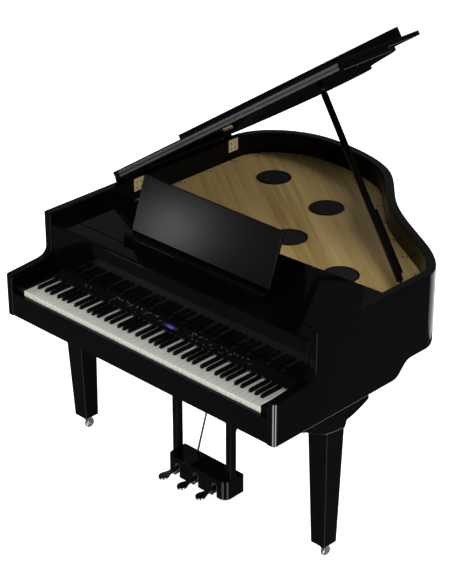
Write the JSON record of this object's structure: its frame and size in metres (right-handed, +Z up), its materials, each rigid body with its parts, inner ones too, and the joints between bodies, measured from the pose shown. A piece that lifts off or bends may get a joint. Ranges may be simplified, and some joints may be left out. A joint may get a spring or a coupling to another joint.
{
  "type": "digital grand piano",
  "caption": "Grand piano shaped digital piano with keyboard, folding fallboard, control panel, music desk, propped lid with front flap, lyre with pedals and legs on castors.",
  "frame": {"origin": "middle of the footprint's bounding box, on the floor, with the lid open on its prop", "axes": "+X towards the treble end, +Y away from the pianist towards the tail, +Z up"},
  "size_m": [1.4082, 1.496, 1.8105],
  "materials": {
    "polished_ebony": "black high-gloss polyester lacquer",
    "satin_black": "satin black",
    "key_ivory": "fine matt ivory feel",
    "key_black": "fine matt ebony feel",
    "spruce": "clear satin lacquer over straight grain",
    "speaker_cloth": "black woven speaker cloth",
    "red_felt": "felt",
    "brass": "polished",
    "steel": "brushed",
    "display": "lit blue display window"
  },
  "bodies": {
    "case": {"rim": "polished_ebony", "bottom_board": "satin_black", "key_slip": "polished_ebony", "key_block_left": "polished_ebony", "key_block_right": "polished_ebony", "key_frame": "key_ivory", "nameboard_felt": "red_felt", "control_panel": "polished_ebony", "display_window": "display", "front_top_board": "polished_ebony", "desk_ledge": "polished_ebony", "soundboard": "spruce", "speaker_grille_1": "speaker_cloth", "speaker_grille_2": "speaker_cloth", "speaker_grille_3": "speaker_cloth", "speaker_grille_4": "speaker_cloth", "hinge_front": "brass", "hinge_rear": "brass", "prop_bracket": "brass", "leg_left": "polished_ebony", "leg_right": "polished_ebony", "leg_rear": "polished_ebony", "lyre": "polished_ebony", "brace_rod_left": "steel", "brace_rod_right": "steel"},
    "lid": {"lid_main": "polished_ebony", "lid_hinge_leaf": "steel"},
    "flap": {"lid_flap": "polished_ebony", "flap_hinge_leaf": "steel"},
    "prop": {"prop": "polished_ebony"},
    "half_prop": {"half_prop": "polished_ebony"},
    "fallboard": {"fallboard": "polished_ebony"},
    "fallboard_lip": {"fallboard_lip": "polished_ebony"},
    "music_desk": {"music_desk": "polished_ebony"},
    "key_C4": {"key_C4": "key_ivory"},
    "key_CS4": {"key_CS4": "key_black"},
    "key_D4": {"key_D4": "key_ivory"},
    "key_DS4": {"key_DS4": "key_black"},
    "key_E4": {"key_E4": "key_ivory"},
    "key_F4": {"key_F4": "key_ivory"},
    "key_FS4": {"key_FS4": "key_black"},
    "volume_knob": {"volume_knob": "satin_black"},
    "brilliance_knob": {"brilliance_knob": "satin_black"},
    "button_1": {"button_1": "satin_black"},
    "button_2": {"button_2": "satin_black"},
    "button_3": {"button_3": "satin_black"},
    "button_4": {"button_4": "satin_black"},
    "button_5": {"button_5": "satin_black"},
    "button_6": {"button_6": "satin_black"},
    "button_7": {"button_7": "satin_black"},
    "button_8": {"button_8": "satin_black"},
    "pedal_left": {"pedal_left": "steel"},
    "pedal_middle": {"pedal_middle": "steel"},
    "pedal_right": {"pedal_right": "steel"},
    "castor_left": {"castor_fork_left": "steel"},
    "wheel_left": {"castor_wheel_left": "steel"},
    "castor_right": {"castor_fork_right": "steel"},
    "wheel_right": {"castor_wheel_right": "steel"},
    "castor_rear": {"castor_fork_rear": "steel"},
    "wheel_rear": {"castor_wheel_rear": "steel"}
  },
  "joints": [
    {"name": "lid_hinge", "type": "hinge", "parent": "case", "child": "lid", "pos_m": [-0.68887, 0.172, 1], "axis": [0, -1, 0], "range_deg": [-33.6, 0]},
    {"name": "flap_hinge", "type": "hinge", "parent": "lid", "child": "flap", "pos_m": [-0.11531, -0.171, 1.40166], "axis": [0.8329, 0, 0.5534], "range_deg": [0, 180]},
    {"name": "prop_pivot", "type": "hinge", "parent": "case", "child": "prop", "pos_m": [0.62213, 0.008, 0.939], "axis": [-0.889, -0.0216, 0.4575], "range_deg": [0, 90.2]},
    {"name": "half_prop_pivot", "type": "hinge", "parent": "prop", "child": "half_prop", "pos_m": [0.57123, 0.05031, 0.96989], "axis": [0.4852, 0.8744, 0], "range_deg": [0, 30]},
    {"name": "fallboard_hinge", "type": "hinge", "parent": "case", "child": "fallboard", "pos_m": [0.00913, -0.535, 0.812], "axis": [1, 0, 0], "range_deg": [0, 90]},
    {"name": "fallboard_lip_hinge", "type": "hinge", "parent": "fallboard", "child": "fallboard_lip", "pos_m": [0.00913, -0.535, 0.945], "axis": [1, 0, 0], "range_deg": [0, 90]},
    {"name": "desk_hinge", "type": "hinge", "parent": "case", "child": "music_desk", "pos_m": [0.00913, -0.402, 0.9866], "axis": [-1, 0, 0], "range_deg": [0, 71]},
    {"name": "key_C4_pivot", "type": "hinge", "parent": "case", "child": "key_C4", "pos_m": [-0.04977, -0.4878, 0.73], "axis": [1, 0, 0], "range_deg": [0, 2.4], "stiffness_Nm_per_rad": 2, "springref_deg": -9.74},
    {"name": "key_CS4_pivot", "type": "hinge", "parent": "case", "child": "key_CS4", "pos_m": [-0.04119, -0.4878, 0.73], "axis": [1, 0, 0], "range_deg": [0, 2.4], "stiffness_Nm_per_rad": 2, "springref_deg": -9.74},
    {"name": "key_D4_pivot", "type": "hinge", "parent": "case", "child": "key_D4", "pos_m": [-0.02621, -0.4878, 0.73], "axis": [1, 0, 0], "range_deg": [0, 2.4], "stiffness_Nm_per_rad": 2, "springref_deg": -9.74},
    {"name": "key_DS4_pivot", "type": "hinge", "parent": "case", "child": "key_DS4", "pos_m": [-0.01123, -0.4878, 0.73], "axis": [1, 0, 0], "range_deg": [0, 2.4], "stiffness_Nm_per_rad": 2, "springref_deg": -9.74},
    {"name": "key_E4_pivot", "type": "hinge", "parent": "case", "child": "key_E4", "pos_m": [-0.00265, -0.4878, 0.73], "axis": [1, 0, 0], "range_deg": [0, 2.4], "stiffness_Nm_per_rad": 2, "springref_deg": -9.74},
    {"name": "key_F4_pivot", "type": "hinge", "parent": "case", "child": "key_F4", "pos_m": [0.02091, -0.4878, 0.73], "axis": [1, 0, 0], "range_deg": [0, 2.4], "stiffness_Nm_per_rad": 2, "springref_deg": -9.74},
    {"name": "key_FS4_pivot", "type": "hinge", "parent": "case", "child": "key_FS4", "pos_m": [0.02849, -0.4878, 0.73], "axis": [1, 0, 0], "range_deg": [0, 2.4], "stiffness_Nm_per_rad": 2, "springref_deg": -9.74},
    {"name": "volume_knob_turn", "type": "hinge", "parent": "case", "child": "volume_knob", "pos_m": [-0.43387, -0.561, 0.77], "axis": [0, -0.4657, 0.8849], "range_deg": [-150, 150]},
    {"name": "brilliance_knob_turn", "type": "hinge", "parent": "case", "child": "brilliance_knob", "pos_m": [-0.40887, -0.561, 0.77], "axis": [0, -0.4657, 0.8849], "range_deg": [-150, 150]},
    {"name": "button_1_press", "type": "slide", "parent": "case", "child": "button_1", "axis": [0, 0.4657, -0.8849], "range_m": [0, 0.0015], "stiffness_N_per_m": 400, "springref_m": -0.002},
    {"name": "button_2_press", "type": "slide", "parent": "case", "child": "button_2", "axis": [0, 0.4657, -0.8849], "range_m": [0, 0.0015], "stiffness_N_per_m": 400, "springref_m": -0.002},
    {"name": "button_3_press", "type": "slide", "parent": "case", "child": "button_3", "axis": [0, 0.4657, -0.8849], "range_m": [0, 0.0015], "stiffness_N_per_m": 400, "springref_m": -0.002},
    {"name": "button_4_press", "type": "slide", "parent": "case", "child": "button_4", "axis": [0, 0.4657, -0.8849], "range_m": [0, 0.0015], "stiffness_N_per_m": 400, "springref_m": -0.002},
    {"name": "button_5_press", "type": "slide", "parent": "case", "child": "button_5", "axis": [0, 0.4657, -0.8849], "range_m": [0, 0.0015], "stiffness_N_per_m": 400, "springref_m": -0.002},
    {"name": "button_6_press", "type": "slide", "parent": "case", "child": "button_6", "axis": [0, 0.4657, -0.8849], "range_m": [0, 0.0015], "stiffness_N_per_m": 400, "springref_m": -0.002},
    {"name": "button_7_press", "type": "slide", "parent": "case", "child": "button_7", "axis": [0, 0.4657, -0.8849], "range_m": [0, 0.0015], "stiffness_N_per_m": 400, "springref_m": -0.002},
    {"name": "button_8_press", "type": "slide", "parent": "case", "child": "button_8", "axis": [0, 0.4657, -0.8849], "range_m": [0, 0.0015], "stiffness_N_per_m": 400, "springref_m": -0.002},
    {"name": "pedal_left_pivot", "type": "hinge", "parent": "case", "child": "pedal_left", "pos_m": [-0.09087, -0.354, 0.055], "axis": [1, 0, 0], "range_deg": [0, 5], "stiffness_Nm_per_rad": 10, "springref_deg": -20.05},
    {"name": "pedal_middle_pivot", "type": "hinge", "parent": "case", "child": "pedal_middle", "pos_m": [0.00913, -0.354, 0.055], "axis": [1, 0, 0], "range_deg": [0, 5], "stiffness_Nm_per_rad": 10, "springref_deg": -20.05},
    {"name": "pedal_right_pivot", "type": "hinge", "parent": "case", "child": "pedal_right", "pos_m": [0.10913, -0.354, 0.055], "axis": [1, 0, 0], "range_deg": [0, 5], "stiffness_Nm_per_rad": 10, "springref_deg": -20.05},
    {"name": "castor_swivel_left", "type": "hinge", "parent": "case", "child": "castor_left", "pos_m": [-0.63087, -0.417, 0.064], "axis": [0, 0, 1], "continuous": true},
    {"name": "castor_axle_left", "type": "hinge", "parent": "castor_left", "child": "wheel_left", "pos_m": [-0.63087, -0.405, 0.02], "axis": [1, 0, 0], "continuous": true},
    {"name": "castor_swivel_right", "type": "hinge", "parent": "case", "child": "castor_right", "pos_m": [0.64913, -0.417, 0.064], "axis": [0, 0, 1], "continuous": true},
    {"name": "castor_axle_right", "type": "hinge", "parent": "castor_right", "child": "wheel_right", "pos_m": [0.64913, -0.405, 0.02], "axis": [1, 0, 0], "continuous": true},
    {"name": "castor_swivel_rear", "type": "hinge", "parent": "case", "child": "castor_rear", "pos_m": [-0.14087, 0.472, 0.064], "axis": [0, 0, 1], "continuous": true},
    {"name": "castor_axle_rear", "type": "hinge", "parent": "castor_rear", "child": "wheel_rear", "pos_m": [-0.14087, 0.484, 0.02], "axis": [1, 0, 0], "continuous": true}
  ],
  "couplings": [
    {"joint": "prop_pivot", "follows": "lid_hinge", "ratio": -2.6816},
    {"joint": "fallboard_lip_hinge", "follows": "fallboard_hinge", "ratio": 1}
  ]
}
